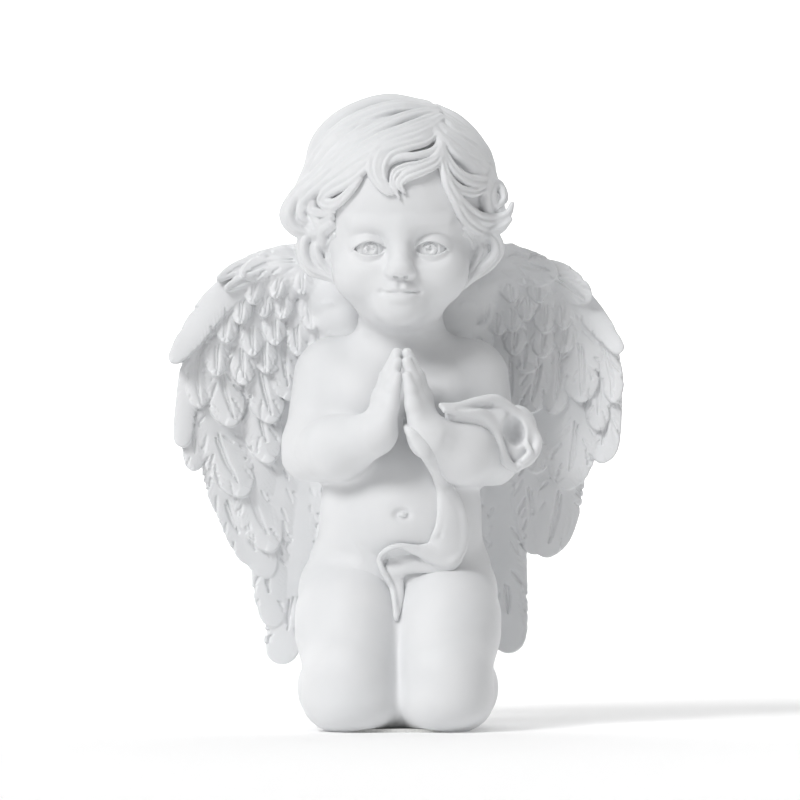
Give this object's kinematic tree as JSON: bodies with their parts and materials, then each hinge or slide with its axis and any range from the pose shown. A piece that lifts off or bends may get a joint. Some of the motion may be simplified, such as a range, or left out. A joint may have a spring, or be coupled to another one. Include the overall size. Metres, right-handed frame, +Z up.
{
  "type": "angel figurine",
  "caption": "Kneeling child angel figurine in matte white cast resin, hands pressed in prayer, feathered wings spread behind and a sash over one forearm.",
  "frame": {"origin": "middle of the flat underside that it stands on", "axes": "+Z up, the figure looks along -Y, its own right side is at -X"},
  "size_m": [0.1088, 0.0637, 0.1499],
  "materials": {
    "resin": "matte, cast",
    "steel": "ground",
    "plug": "matte",
    "felt": "felt"
  },
  "bodies": {
    "root": {"body": "resin", "head": "resin", "right_arm": "resin", "left_arm": "resin", "sash_over": "resin", "sash_fall": "resin", "right_wing": "resin", "left_wing": "resin", "wing_dowels": "steel", "base_plug": "plug", "felt_pad": "felt"}
  },
  "joints": []
}
